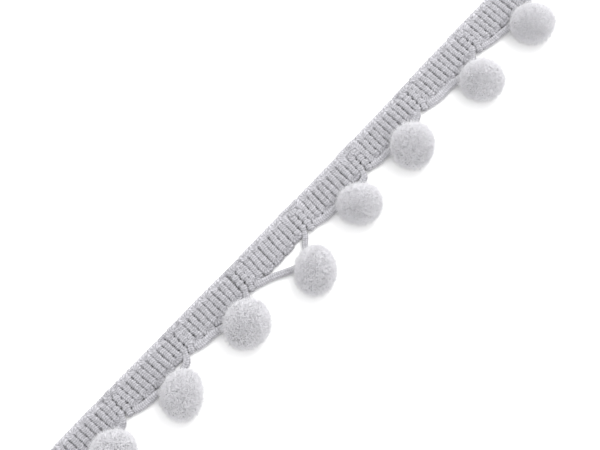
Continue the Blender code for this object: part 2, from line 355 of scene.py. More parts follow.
def knit_tube(name, rings, relief, material, pale):
    """A tube through its rings with raised V-shaped stitches, painted shade between them and painted
    highlight on their crowns; pale adds painted highlight, 0 to 1.
    """
    count = len(rings.centre) - COLUMN_LAG.max()
    bm = bmesh.new()
    bm.loops.layers.uv.new("cord")
    bmesh.ops.create_grid(bm, x_segments=count - 1, y_segments=SIDES, size=0.5, calc_uvs=True)
    mesh = bpy.data.meshes.new(name)
    bm.to_mesh(mesh)
    bm.free()
    grid = np.empty(len(mesh.vertices) * 3)
    mesh.vertices.foreach_get("co", grid)
    grid = grid.reshape(-1, 3)
    ring = np.rint((grid[:, 0] + 0.5) * (count - 1)).astype(int)
    column = np.rint((grid[:, 1] + 0.5) * SIDES).astype(int) % SIDES
    place = ring + COLUMN_LAG[column % len(COLUMN_LAG)]
    angle = math.pi / 2 + 2 * math.pi * column / SIDES
    stitch = STITCH_HEIGHT[column % len(COLUMN_LAG), ring % RINGS_PER_STITCH]
    aside = squarish(np.cos(angle)) * (rings.wide[place] + relief * stitch)
    lifted = squarish(np.sin(angle)) * (rings.tall[place] + relief * stitch)
    points = rings.centre[place] + rings.side[place] * aside[:, None] + rings.up[place] * lifted[:, None]
    points[:, 2] = np.maximum(points[:, 2], 0)
    mesh.vertices.foreach_set("co", points.ravel())
    painted_highlight = np.broadcast_to(pale, len(rings.centre))[place]
    # Painted shade where the stitches lie low, painted highlight on their crowns, and more painted
    # highlight by pale
    set_tone(mesh, "stitch", STITCH_PAINTED_SHADING * (stitch + 1) + PAINTED_HIGHLIGHT_TONE * painted_highlight)
    scale_cord_uv(mesh, rings)
    bm = bmesh.new()
    bm.from_mesh(mesh)
    bmesh.ops.remove_doubles(bm, verts=[vert for vert in bm.verts if vert.is_boundary], dist=WELD)
    bmesh.ops.holes_fill(bm, edges=[edge for edge in bm.edges if edge.is_boundary], sides=0)
    bmesh.ops.recalc_face_normals(bm, faces=bm.faces)
    bm.to_mesh(mesh)
    bm.free()
    return finished(name, mesh, material)


def set_tone(mesh, name, tone):
    """Gives a mesh's points an attribute for its material."""
    mesh.attributes.new(name, "FLOAT", "POINT").data.foreach_set("value", tone)


def scale_cord_uv(mesh, rings):
    """Makes the cord's map run in millimetres along it and in turns round it."""
    length = np.linalg.norm(np.diff(rings.centre, axis=0), axis=1).sum()
    layer = mesh.uv_layers["cord"].data
    uv = np.empty(len(layer) * 2)
    layer.foreach_get("uv", uv)
    uv = uv.reshape(-1, 2) * (length / MM, 1)
    layer.foreach_set("uv", uv.ravel())


def finished(name, mesh, material):
    """The mesh as a smooth-shaded object with its material."""
    mesh.shade_smooth()
    mesh.materials.clear()
    mesh.materials.append(material)
    piece = bpy.data.objects.new(name, mesh)
    bpy.context.scene.collection.objects.link(piece)
    return piece


def place_piece(piece, slot, *nodes):
    """Ties a piece to the frame: it rides on the root and stands for the named nodes."""
    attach(piece, "root")
    if nodes:
        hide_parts(*nodes)


def turn_points(left, right, turn, sign, half_width, steps=36):
    """Rows x, aside, side x, side y and share of a turn, from the left rib to the right one.

    sign is 1 at the upper edge and -1 at the lower one.
    """
    middle = (left + right) / 2
    radius = (right - left) / 2
    stretch = abs(turn.outer - turn.level) / (radius + half_width)
    rows = []
    for angle in np.linspace(-math.pi / 2, math.pi / 2, steps + 1):
        across = math.sin(angle)
        out = math.cos(angle)
        spread = (abs(across) ** turn.square + out**turn.square) ** (-1 / turn.square)
        side = (across * spread, sign * stretch * out * spread)
        rows.append((middle + radius * side[0], turn.level + radius * side[1], side[0], side[1], out))
    return rows


def crossing_at(x):
    """The crossing nearest to x."""
    return CROSSINGS[round((x - FIRST_CROSSING) / REPEAT)]


def bridge_turn(x):
    """The header cord's turn round the top of a hairpin."""
    inner = min(BRIDGE_INNER, crossing_at(x).closing * MM + HAIRPIN_REACH - BRIDGE_OVERLAP)
    stretch = (BRIDGE_OUTER - inner) / RIB_PITCH
    return EdgeTurn(BRIDGE_OUTER - 2 * RIB_PITCH * stretch, BRIDGE_OUTER, BRIDGE_SQUARE)


def header_rows(half_width):
    """The header cord's path as rows x, aside, side x, side y, edge share and bridge share."""
    start = -BRAID_END + RIB_PITCH / 2
    ribs = np.arange(start, BRAID_END, RIB_PITCH)
    ribs = [x for x in ribs if abs(from_crossing(x)) > HAIRPIN_ROOM]
    rows = []
    for index, (x, following) in enumerate(zip(ribs, ribs[1:])):
        rising = index % 2 == 0
        bridge = following - x > 1.5 * RIB_PITCH
        turn = bridge_turn((x + following) / 2) if bridge else UPPER_TURN
        if not rising:
            tuck = tuck_at((x + following) / 2)
            turn = EdgeTurn(LOWER_TURN.level + tuck, LOWER_TURN.outer + tuck, LOWER_TURN.square)
        sign = 1 if rising else -1
        for place, aside, side_x, side_y, share in turn_points(x, following, turn, sign, half_width):
            rows.append((place, aside, sign * side_x, sign * side_y, share, share if bridge else 0))
    first = (ribs[0], LOWER_TURN.outer, -1, 0, 0, 0)
    last = (ribs[-1], LOWER_TURN.outer, 1, 0, 0, 0)
    return [first, *rows, last]


def straightened(rows, step):
    """The same rows with long gaps between them filled, so that ribs can wander."""
    filled = []
    for row, following in zip(rows, rows[1:]):
        count = max(1, int(abs(following[1] - row[1]) / step))
        for share in np.arange(count) / count:
            filled.append(np.array(row) * (1 - share) + np.array(following) * share)
    filled.append(np.array(rows[-1]))
    return filled


def header_rings(settings):
    """Rings of the header cord, laid, pinched and a little uneven, and how much painted highlight each one
    gets at the braid's upper edge.
    """
    half_width = settings.cord_width / 2
    half_height = settings.cord_height / 2
    path = []
    for x, aside, side_x, side_y, edge, bridge in straightened(header_rows(half_width), PATH_STEP):
        x += wander(1.7, x, aside, settings.unevenness)
        covered = crossing_at(x).closing * MM + HAIRPIN_REACH > BRIDGE_INNER
        path.append((*laid(x, aside), 0, side_x, side_y, aside, edge, bridge * covered))
    rows = resampled(path, settings)
    aside = rows[:, 5]
    edge = np.clip(rows[:, 6], 0, 1)
    bridge = np.clip(rows[:, 7] * 1.6, 0, 1)
    pinch = pinch_at(aside)
    corner = 4 * edge * (1 - edge) * (aside > 0)
    uneven = np.array([noise.noise(Vector((*place, 3.3))) for place in rows[:, :2] / THICKNESS_GRAIN])
    wide = half_width * (1 - PINCH_NARROWING * pinch * (1 - edge) + CORNER_SPREAD * corner)
    wide *= 1 + THICKNESS_VARIATION * uneven * (1 - edge)
    fall = np.where(aside > 0, UPPER_FALL, LOWER_FALL) * edge**2
    tall = half_height * (1 - PINCH_LOWERING * pinch - fall)
    tall *= 1 - (1 - BRIDGE_DIP) * bridge
    height = half_height * (1 - (1 - BRIDGE_DIP) * bridge - fall * (1 - bridge))
    centre = np.stack([rows[:, 0], rows[:, 1], height], axis=1)
    side = np.stack([rows[:, 3], rows[:, 4], np.zeros(len(rows))], axis=1)
    up = np.tile([0.0, 0.0, 1.0], (len(rows), 1))
    # Painted highlight on the turns along the braid's upper edge, which face the light
    return Rings(centre, side, up, wide, tall), np.clip(1.8 * edge, 0, 1) * (aside > 0)


def framed(rows, settings):
    """Rings of a free cord with rounded ends, from rows x, y, z, half width and half height."""
    centre = rows[:, :3]
    along = unit(np.gradient(centre, axis=0))
    side = unit(np.cross([0.0, 0.0, 1.0], along))
    up = np.cross(along, side)
    run = np.linalg.norm(np.diff(centre, axis=0), axis=1)
    length = np.concatenate([[0], np.cumsum(run)])
    size = np.ones(len(rows))
    for from_end in (length, length[-1] - length):
        share = np.clip(from_end / (CAP_LENGTH * settings.cord_width) + CAP_START, 0, 1)
        size *= np.sqrt(1 - (1 - share) ** 2)
    return Rings(centre, side, up, rows[:, 3] * size, rows[:, 4] * size)


def fuzz_ends(rings, weight, settings, rng):
    """Roots and tips of fine fibres that stand out of a cord, more of them where the weight is."""
    count = settings.fuzz_count
    at = rng.choice(np.arange(2, len(rings.centre) - 2), count, p=weight[2:-2] / weight[2:-2].sum())
    angle = rng.uniform(-0.15 * math.pi, 1.15 * math.pi, count)
    across = np.cos(angle)[:, None] * rings.side[at]
    above = np.sin(angle)[:, None] * rings.up[at]
    along = unit(rings.centre[at + 1] - rings.centre[at - 1])
    surface = rings.centre[at] + 0.97 * (across * rings.wide[at, None] + above * rings.tall[at, None])
    reach = np.minimum(rng.gamma(FIBRE_SPREAD, 0.6, count), LONGEST_FUZZ)
    reach = (reach * settings.fuzz_length * (0.6 + 0.35 * weight[at]))[:, None]
    drift = rng.normal(0, 0.8, (count, 2))
    tips = surface + reach * (across + above + along * drift[:, :1] + rings.side[at] * drift[:, 1:] * 0.5)
    tips[:, 2] = np.maximum(tips[:, 2], 2 * LOWEST_FIBRE)
    return surface, tips


def make_header_fuzz(rings, weight, settings, material):
    """The fine loose fibres of the header cord, as one piece."""
    rng = np.random.default_rng(FUZZ_SEED)
    roots, tips = fuzz_ends(rings, weight, settings, rng)
    points, faces, _ = spikes(roots, tips, FUZZ_WIDTH, rng)
    mesh = bpy.data.meshes.new("header_fuzz")
    mesh.from_pydata(points, [], faces)
    mesh.update()
    piece = finished("header_fuzz", mesh, material)
    place_piece(piece, "braid_cord")


Ball = namedtuple("Ball", "centre half_sizes axes")
"""A ball of the frame: its middle, its half sizes and the directions they lie along."""


def ball_of(index):
    """The ball of a pompom, read from its points in the frame."""
    node = f"pompom_{index + 1}"
    low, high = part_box(node)
    turn = math.radians(BALL_TURN_DEG)
    long_way = np.array([math.cos(turn), math.sin(turn), 0])
    broad_way = np.array([-math.sin(turn), math.cos(turn), 0])
    points = np.array([vert.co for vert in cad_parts[node].data.vertices])
    centre = np.array([(low.x + high.x) / 2, (low.y + high.y) / 2, high.z / 2])
    half_sizes = np.array([np.ptp(points @ long_way) / 2, np.ptp(points @ broad_way) / 2, high.z / 2])
    return Ball(centre, half_sizes, np.stack([long_way, broad_way, [0, 0, 1]]))


def ball_radius(ball, ways):
    """The distance from a ball's centre to its plain surface in each unit direction."""
    return 1 / np.linalg.norm(ways @ ball.axes.T / ball.half_sizes, axis=-1)


def leg_rows(index, side, settings):
    """Path of a loop cord's leg from the braid's edge into its pompom, as rows of a free cord.

    side is -1 for the leg on the pompom's left and 1 for the one on its right.
    """
    ball = ball_of(index)
    crossing = FIRST_CROSSING + (index if side < 0 else index + 1) * REPEAT
    leg = (LEFT_LEGS if side < 0 else RIGHT_LEGS)[index]
    points = []
    for along, aside in leg.places:
        points.append(np.array([crossing + along * MM, BRAID_Y + aside * MM, LEG_HEIGHT]))
    outward = unit((points[-1] - ball.centre) * (1, 1, 0))
    outward[2] = math.tan(math.radians(ENTRY_SLOPE_DEG))
    outward = unit(outward)
    end = ball.centre + outward * (ball_radius(ball, outward) - LEG_ENTRY_DEPTH)
    if np.linalg.norm((end - points[-1])[:2]) < LEG_NEAREST:
        points.pop()
    points += [end, end - outward * LEG_SINK]
    half_height = 0.97 * settings.cord_height / 2
    return [(*point, leg.half_width * MM, half_height) for point in points]


def at_levels(levels, given_levels, values):
    """Values between those that are given at falling levels."""
    return np.interp(-np.array(levels), -np.array(given_levels), values)


def hairpin_pass(number, levels, outer, half_height):
    """Rows of one pass of the hairpin over the braid, from where its outer side is at each level."""
    crossing = FIRST_CROSSING + number * REPEAT
    y0 = BRAID_Y + bend_at(crossing)
    middle = at_levels(levels, MIDDLE_LEVELS, CROSSINGS[number].middle)
    rows = []
    for level, edge, gap in zip(levels, outer, middle):
        place = (crossing + (edge + gap) / 2 * MM, y0 + level * MM, PASS_HEIGHT)
        rows.append((*place, abs(edge - gap) / 2 * PASS_FILL * MM, half_height))
    return rows


def hairpin_rows(number, settings):
    """Path of the cord over the braid at a crossing, rows x, y, z, half width and half height."""
    shape = CROSSINGS[number]
    crossing = FIRST_CROSSING + number * REPEAT
    half_height = settings.cord_height / 2
    y0 = BRAID_Y + bend_at(crossing)
    levels = np.arange(shape.closing, LOWEST_LEVEL, -LEVEL_STEP)
    left = hairpin_pass(number, levels, at_levels(levels, LEFT_LEVELS, shape.left), half_height)
    right = hairpin_pass(number, levels, at_levels(levels, RIGHT_LEVELS, shape.right), half_height)
    turn = EdgeTurn(shape.closing * MM, shape.closing * MM + HAIRPIN_REACH, HAIRPIN_SQUARE)
    half_width = (left[0][3] + right[0][3]) / 2
    over = []
    for x, aside, _, _, share in turn_points(left[0][0], right[0][0], turn, 1, half_width, 10)[1:-1]:
        height = PASS_HEIGHT + HAIRPIN_LIFT * share
        over.append((x, y0 + aside, height, half_width * 0.95, half_height * 0.8))
    blunt = []
    for along, aside in BLUNT_END:
        place = (crossing + along * MM, y0 + aside * MM, PASS_HEIGHT)
        blunt.append((*place, BLUNT_HALF_WIDTH, half_height * 0.95))
    return left[::-1] + over + right + blunt


def beaded(rows, crossing):
    """The same rows, swollen between the rows of binding thread and narrow under them."""
    rows = rows.copy()
    aside = rows[:, 1] - BRAID_Y - bend_at(crossing)
    shift = np.where(rows[:, 0] < crossing, -BEAD_SHIFT / 2, BEAD_SHIFT / 2)
    inside = np.clip((aside - LOWER_EDGE) / MM, 0, 1)
    pinch = np.minimum(1, pinch_at(aside, shift))
    swell = 1 + inside * (BEAD_SWELL - (BEAD_SWELL + BEAD_PINCH) * pinch)
    rows[:, 3] *= swell
    rows[:, 4] *= swell
    return rows


def make_hairpin_cord(number, settings, material):
    """The cord that comes from the pompom on the left and runs up and down the braid."""
    crossing = FIRST_CROSSING + number * REPEAT
    rows = hairpin_rows(number, settings)
    if number > 0:
        rows = leg_rows(number - 1, 1, settings)[::-1] + rows
    even = resampled(smooth_path(rows), settings)
    rings = framed(beaded(even, crossing), settings)
    # Painted highlight: the cord is painted paler where it runs below the braid as a leg
    pale = LEG_PAINTED_HIGHLIGHT * (rings.centre[:, 1] < BRAID_Y + LOWER_EDGE)
    piece = knit_tube(f"hairpin_cord_{number + 1}", rings, settings.stitch_relief, material, pale)
    nodes = [f"loop_right_{number}"] if number > 0 else []
    place_piece(piece, "loop_cord", *nodes)


def make_leg_cord(index, settings, material):
    """The longer leg on a pompom's left, which starts beside the hairpin's blunt end."""
    rows = leg_rows(index, -1, settings)
    even = resampled(smooth_path(rows), settings)
    rings = framed(even, settings)
    relief = LEG_RELIEF * settings.stitch_relief
    # Painted highlight: the whole leg is painted paler
    piece = knit_tube(f"leg_cord_{index + 1}", rings, relief, material, LEG_PAINTED_HIGHLIGHT)
    place_piece(piece, "loop_cord", f"loop_left_{index + 1}")


def make_thread(number, row, back, settings):
    """One binding thread along the braid: over or under each rib and into each slit."""
    half = settings.thread_width / 2
    crown = settings.cord_height * (1 - PINCH_LOWERING / 2) + half * (row < UPPER_TURN.level)
    steps = 4 if back else 8
    count = round(2 * BRAID_END / RIB_PITCH) * steps
    points = []
    for step in range(count + 1):
        x = (BRAID_END - THREAD_INSET) * (2 * step / count - 1)
        in_slit = 0.5 + 0.5 * math.cos(2 * math.pi * step / steps)
        sway = settings.thread_width * math.sin(math.pi * step / steps + number)
        z = half + BACK_THREAD_DIP * in_slit if back else crown - THREAD_DIP * in_slit
        points.append((*laid(x, row + tuck_at(x) * row / LOWER_EDGE * (row < 0) + 0.5 * sway), z))
    curve = bpy.data.curves.new(f"thread_{number}", "CURVE")
    curve.dimensions = "3D"
    curve.bevel_depth = half
    curve.bevel_resolution = 0
    curve.use_fill_caps = True
    spline = curve.splines.new("POLY")
    spline.points.add(len(points) - 1)
    for point, place in zip(spline.points, points):
        point.co = (*place, 1)
    made = bpy.data.objects.new(f"thread_{number}", curve)
    bpy.context.scene.collection.objects.link(made)
    return made


def joined_mesh(name, objects, material):
    """One mesh object from several curve objects, which are removed."""
    bm = bmesh.new()
    graph = bpy.context.evaluated_depsgraph_get()
    for made in objects:
        mesh = bpy.data.meshes.new_from_object(made.evaluated_get(graph))
        bm.from_mesh(mesh)
        bpy.data.meshes.remove(mesh)
        bpy.data.objects.remove(made)
    bmesh.ops.remove_doubles(bm, verts=bm.verts, dist=WELD)
    mesh = bpy.data.meshes.new(name)
    bm.to_mesh(mesh)
    bm.free()
    return finished(name, mesh, material)


def even_directions(count):
    """Unit directions spread evenly over a sphere."""
    height = 1 - (2 * np.arange(count) + 1) / count
    turn = np.pi * (3 - math.sqrt(5)) * np.arange(count)
    level = np.sqrt(1 - height**2)
    return np.stack([level * np.cos(turn), level * np.sin(turn), height], axis=1)


def unit(vectors):
    """The vectors with a length of 1."""
    return vectors / np.linalg.norm(vectors, axis=-1, keepdims=True)


def as_arrays(bm):
    """The points and faces of a bmesh whose faces are all triangles; the bmesh is freed."""
    bm.verts.index_update()
    points = np.array([vert.co for vert in bm.verts])
    faces = np.array([[vert.index for vert in face.verts] for face in bm.faces])
    bm.free()
    return points, faces


def fibre_shape():
    """Points and faces of one closed three-sided fibre, 1 wide at its start and pointed 1 above it."""
    bm = bmesh.new()
    bmesh.ops.create_cone(bm, cap_ends=True, segments=3, radius1=0.5, radius2=0, depth=1)
    bmesh.ops.translate(bm, verts=bm.verts, vec=(0, 0, 0.5))
    return as_arrays(bm)


def spikes(wide_ends, pointed_ends, width, rng):
    """Points and faces of many fibres, and how near each point is to its fibre's pointed end, 0 to 1.

    width is one number, or one for each fibre.
    """
    shape, pattern = fibre_shape()
    count = len(wide_ends)
    across = np.reshape(width, (-1, 1)) * np.ones((count, 1))
    along = pointed_ends - wide_ends
    first = unit(np.cross(along, rng.normal(size=along.shape)))
    second = unit(np.cross(along, first))
    local = np.stack([across * first, across * second, along], axis=1)
    points = (wide_ends[:, None] + shape @ local).reshape(-1, 3)
    points[:, 2] = np.maximum(points[:, 2], LOWEST_FIBRE)
    faces = (len(shape) * np.arange(count)[:, None, None] + pattern).reshape(-1, 3)
    return points, faces, np.tile(shape[:, 2], count)


def ball_reach(index, ball, ways):
    """The distance from a pompom's centre to its clipped surface in each unit direction."""
    reach = ball_radius(ball, ways)
    for swell in SWELLS[index]:
        facing = math.radians(swell.facing_deg)
        near = ways @ np.array([math.cos(facing), math.sin(facing), 0])
        reach = reach + swell.amount * MM * np.exp(-((np.arccos(np.clip(near, -1, 1)) / SWELL_WIDTH) ** 2))
    return reach


def pile_fibres(settings, rng):
    """Directions of the roots and tips of a pompom's fibres, which lean into small tufts.

    Also how short each fibre's tuft is cut and how pale its yarn is.
    """
    count = settings.fibres
    ways = unit(even_directions(count) + rng.normal(0, 0.5 * math.sqrt(4 * math.pi / count), (count, 3)))
    tuft_gap = math.sqrt(4 * math.pi / settings.tufts)
    tufts = unit(even_directions(settings.tufts) + rng.normal(0, 0.3 * tuft_gap, (settings.tufts, 3)))
    nearest = np.argmax(ways @ tufts.T, axis=1)
    lean = rng.normal(0, 0.1 * tuft_gap, (settings.tufts, 3))[nearest]
    gather = GATHER * (tufts[nearest] - ways)
    tips = unit(ways + gather + lean + rng.normal(0, TANGLE, (count, 3)))
    cut = rng.normal(0, 0.3, settings.tufts)[nearest]
    tone = rng.random(settings.tufts)[nearest]
    return ways, tips, cut, tone


def pompom_pile(index, ball, settings):
    """Points, faces and tones of a pompom's fibres: broad cut ends, pointed ones and thin strays."""
    rng = np.random.default_rng(settings.seed + index)
    root_ways, tip_ways, cut, tuft_tone = pile_fibres(settings, rng)
    count = len(root_ways)
    tip_reach = ball_reach(index, ball, tip_ways) + settings.pile_proud
    tip_reach -= settings.pile_uneven * (cut + np.abs(rng.normal(0, 1.2, count)))
    root_reach = ball_reach(index, ball, root_ways) - settings.pile_length
    roots = ball.centre + root_ways * root_reach[:, None]
    tips = ball.centre + tip_ways * tip_reach[:, None]
    stray = rng.random(count) < settings.stray
    longer = stray * np.minimum(rng.gamma(FIBRE_SPREAD, settings.stray_length, count), LONGEST_STRAY)
    tips += unit(tips - ball.centre) * longer[:, None]
    blunt = (rng.random(count) < settings.blunt) & ~stray
    pointed_ends = np.where(blunt[:, None], roots, tips)
    wide_ends = np.where(blunt[:, None], tips, roots)
    widths = np.where(blunt, settings.cut_width * rng.uniform(0.7, 1.2, count), settings.fibre_width)
    widths = np.where(stray, 2 * widths, widths)
    points, faces, share = spikes(wide_ends, pointed_ends, widths, rng)
    low, high = TUFT_TONES
    outer = low + (high - low) * tuft_tone + FIBRE_TONE * rng.random(count)
    # Painted shade: stray fibres are darker, which dims the light they catch at the pompom's rim
    outer *= np.where(stray, STRAY_PAINTED_SHADE, 1)
    # Painted shade: each fibre is darker towards its inner end, deep in the pile
    share = np.where(blunt[:, None], 1 - share.reshape(count, -1), share.reshape(count, -1))
    tone = outer[:, None] * (INNER_PAINTED_SHADE + (1 - INNER_PAINTED_SHADE) * share)
    return points, faces, tone.ravel()


def pompom_core(index, ball):
    """Points, faces and tones of the lumpy core that closes the gaps in a pompom's pile."""
    bm = bmesh.new()
    bmesh.ops.create_icosphere(bm, subdivisions=CORE_SUBDIVISIONS, radius=1)
    ways, faces = as_arrays(bm)
    ways = unit(ways)
    lumps = np.array([noise.noise(Vector(way) * LUMPINESS + Vector((index, 0, 0))) for way in ways])
    reach = ball_reach(index, ball, ways) - CORE_DEPTH + LUMP_HEIGHT * lumps
    points = ball.centre + ways * reach[:, None]
    points[:, 2] = np.maximum(points[:, 2], LOWEST_CORE)
    # Painted shade: the core under the pile is painted dark, lighter on its lumps
    return points, faces, CORE_PAINTED_SHADE * (1 + lumps)


def make_pompom(index, settings, material):
    """A clipped yarn ball: its core and its pile, as one piece."""
    ball = ball_of(index)
    core, core_faces, core_tone = pompom_core(index, ball)
    pile, pile_faces, pile_tone = pompom_pile(index, ball, settings)
    mesh = bpy.data.meshes.new("pile")
    faces = np.concatenate([core_faces, pile_faces + len(core)])
    mesh.from_pydata(np.concatenate([core, pile]), [], faces)
    set_tone(mesh, "tone", np.concatenate([core_tone, pile_tone]))
    mesh.update()
    piece = finished(f"pompom_pile_{index + 1}", mesh, material)
    place_piece(piece, "ball_pile", f"pompom_{index + 1}")


def new_material(name, finish):
    """A material, its node tree, and its shader with the finish's values."""
    material = bpy.data.materials.new(name)
    material.use_nodes = True
    shader = material.node_tree.nodes["Principled BSDF"]
    for socket, value in finish.items():
        shader.inputs[socket].default_value = value
    return material, material.node_tree, shader


def add_node(tree, kind, **values):
    """A new node with its properties set, and its inputs by name."""
    node = tree.nodes.new(kind)
    for key, value in values.items():
        if hasattr(node, key):
            setattr(node, key, value)
        else:
            node.inputs[key.title()].default_value = value
    return node


def toned(colour, factor):
    """The colour, lighter or darker by a factor."""
    return [factor * part for part in colour]


def ramp_from(tree, source, *stops):
    """A value run through a ramp of colours; each stop is a position and a colour."""
    ramp = add_node(tree, "ShaderNodeValToRGB")
    elements = ramp.color_ramp.elements
    elements.remove(elements[1])
    for number, (position, colour) in enumerate(stops):
        element = elements.new(position) if number else elements[0]
        element.position = position
        element.color = (*colour, 1)
    tree.links.new(source, ramp.inputs["Fac"])
    return ramp.outputs["Color"]


def grain(tree, scale, detail):
    """Fine noise on the piece's own coordinates."""
    where = add_node(tree, "ShaderNodeTexCoord")
    speckle = add_node(tree, "ShaderNodeTexNoise", scale=scale, detail=detail)
    tree.links.new(where.outputs["Object"], speckle.inputs["Vector"])
    return speckle.outputs["Fac"]


def tinted(tree, colour, tint):
    """A colour multiplied by a tint."""
    mix = add_node(tree, "ShaderNodeMix", data_type="RGBA", blend_type="MULTIPLY")
    mix.inputs["Factor"].default_value = 1.0
    tree.links.new(colour, mix.inputs["A"])
    tree.links.new(tint, mix.inputs["B"])
    return mix.outputs["Result"]


def add_bump(tree, shader, height, strength, distance):
    """Raises a shader's surface by a height."""
    bump = add_node(tree, "ShaderNodeBump", strength=strength, distance=distance)
    tree.links.new(height, bump.inputs["Height"])
    tree.links.new(bump.outputs["Normal"], shader.inputs["Normal"])


def cord_material(colour):
    """Matte knit yarn with fine fibres along the cord: painted shade between the stitches, painted
    highlight on their crowns.
    """
    finish = {"Roughness": 0.9, "Specular IOR Level": 0.2, "Sheen Weight": 0.5, "Sheen Roughness": 0.6}
    material, tree, shader = new_material("knit_cord", finish)
    stitch = add_node(tree, "ShaderNodeAttribute", attribute_name="stitch").outputs["Fac"]
    # Painted shade and highlight: the stitch attribute runs from dark low places to light crowns and the
    # painted highlight at the braid's upper edge
    relief = ramp_from(tree, stitch, *[(level, toned(colour, factor)) for level, factor in STITCH_PAINTED_SHADES])
    shade = tinted(tree, relief, ramp_from(tree, grain(tree, 1500, 2), *CORD_SPECKLE))
    tree.links.new(shade, shader.inputs["Base Color"])
    where = add_node(tree, "ShaderNodeTexCoord")
    stretch = add_node(tree, "ShaderNodeMapping")
    stretch.inputs["Scale"].default_value = (3, 60, 1)
    fibres = add_node(tree, "ShaderNodeTexNoise", scale=1, detail=4)
    tree.links.new(where.outputs["UV"], stretch.inputs["Vector"])
    tree.links.new(stretch.outputs["Vector"], fibres.inputs["Vector"])
    add_bump(tree, shader, fibres.outputs["Fac"], 0.5, 0.03 * MM)
    return material


def mottled_material(name, colour, scale, finish):
    """Single fibres or threads, a little darker in places."""
    material, tree, shader = new_material(name, finish)
    shade = ramp_from(tree, grain(tree, scale, 1), (0, toned(colour, 0.85)), (1, colour))
    tree.links.new(shade, shader.inputs["Base Color"])
    return material


def pile_material(colour):
    """Dense clipped pile: painted shade towards its roots and on its core, faintly mottled."""
    finish = {"Roughness": 1.0, "Specular IOR Level": 0.1, "Sheen Weight": 0.1, "Sheen Roughness": 0.7}
    material, tree, shader = new_material("clipped_pile", finish)
    tone = add_node(tree, "ShaderNodeAttribute", attribute_name="tone").outputs["Fac"]
    # The tone ramp gives each tuft its own tone, and painted shade on the fibres' inner ends, the strays
    # and the core
    depth = ramp_from(tree, tone, (0, toned(colour, 0.78)), (1, toned(colour, 1.16)))
    shade = tinted(tree, depth, ramp_from(tree, grain(tree, 1100, 1), *PILE_MOTTLE))
    tree.links.new(shade, shader.inputs["Base Color"])
    add_bump(tree, shader, grain(tree, 6000, 2), 0.7, 0.08 * MM)
    return material


def make_floor(colour):
    """A plain pale studio floor under the trim."""
    finish = {"Base Color": (*colour, 1), "Roughness": 0.9, "Specular IOR Level": 0.0}
    material, _, _ = new_material("studio_floor", finish)
    bm = bmesh.new()
    bmesh.ops.create_grid(bm, x_segments=1, y_segments=1, size=FLOOR_SIZE / 2)
    mesh = bpy.data.meshes.new("floor")
    bm.to_mesh(mesh)
    bm.free()
    floor = finished("floor", mesh, material)


def set_surroundings(scene, strength):
    """Even white light from all round."""
    world = bpy.data.worlds.new("studio")
    world.use_nodes = True
    background = world.node_tree.nodes["Background"]
    background.inputs["Color"].default_value = (1, 1, 1, 1)
    background.inputs["Strength"].default_value = strength
    scene.world = world


def set_camera(scene, settings, heading, right):
    """The camera, tilted a little from straight down."""
    ahead = heading * math.sin(settings.tilt) - Vector((0, 0, math.cos(settings.tilt)))
    camera = bpy.data.cameras.new("camera")
    camera.lens = settings.lens
    camera.sensor_width = 36
    camera.clip_start = 0.01
    camera.clip_end = 50
    viewer = bpy.data.objects.new("camera", camera)
    turned = Matrix((right, right.cross(ahead), -ahead)).transposed().to_4x4()
    viewer.matrix_world = Matrix.Translation(VIEW_TARGET - ahead * settings.distance) @ turned
    scene.collection.objects.link(viewer)
    scene.camera = viewer


def set_key_light(scene, power, place):
    """A large soft light that faces the trim."""
    key = bpy.data.lights.new("key_light", "AREA")
    key.shape = "DISK"
    key.size = KEY_SIZE
    key.energy = power
    lamp = bpy.data.objects.new("key_light", key)
    lamp.location = place
    lamp.rotation_euler = (VIEW_TARGET - place).to_track_quat("-Z", "Y").to_euler()
    scene.collection.objects.link(lamp)


class TrimCordSettings(bpy.types.PropertyGroup):
    cord_width: FloatProperty(
        name="Cord width", default=2.0 * MM, unit="LENGTH",
        description="Width of the knit cord where it lies in the braid",
    )
    cord_height: FloatProperty(
        name="Cord height", default=1.8 * MM, unit="LENGTH",
        description="Height of the knit cord where it lies in the braid",
    )
    stitch_length: FloatProperty(
        name="Stitch length", default=0.62 * MM, unit="LENGTH",
        description="Length of one stitch of the knit cord",
    )
    stitch_relief: FloatProperty(
        name="Stitch relief", default=0.095 * MM, unit="LENGTH",
        description="How far the stitches stand out of the cord",
    )
    unevenness: FloatProperty(
        name="Unevenness", default=0.28 * MM, unit="LENGTH",
        description="How far a rib wanders from its place",
    )
    fuzz_count: IntProperty(name="Fuzz count", description="Loose fibres on the cord", default=15000)
    fuzz_length: FloatProperty(
        name="Fuzz length", default=0.28 * MM, unit="LENGTH",
        description="How far a middling loose fibre stands out of the cord",
    )
    thread_width: FloatProperty(
        name="Thread width", default=0.16 * MM, unit="LENGTH",
        description="Width of the binding threads",
    )
    colour: FloatVectorProperty(
        name="Cord colour", default=(0.387, 0.383, 0.41), subtype="COLOR",
        description="Colour of the knit cord",
    )
    # Painted light: the loose fibres are paler than the cord they come from, for light passing through
    # them
    fuzz_painted_light_colour: FloatVectorProperty(
        name="Fuzz colour", default=(0.61, 0.605, 0.63), subtype="COLOR",
        description="Colour of the loose fibres",
    )
    thread_colour: FloatVectorProperty(
        name="Thread colour", default=(0.40, 0.395, 0.42), subtype="COLOR",
        description="Colour of the binding threads",
    )


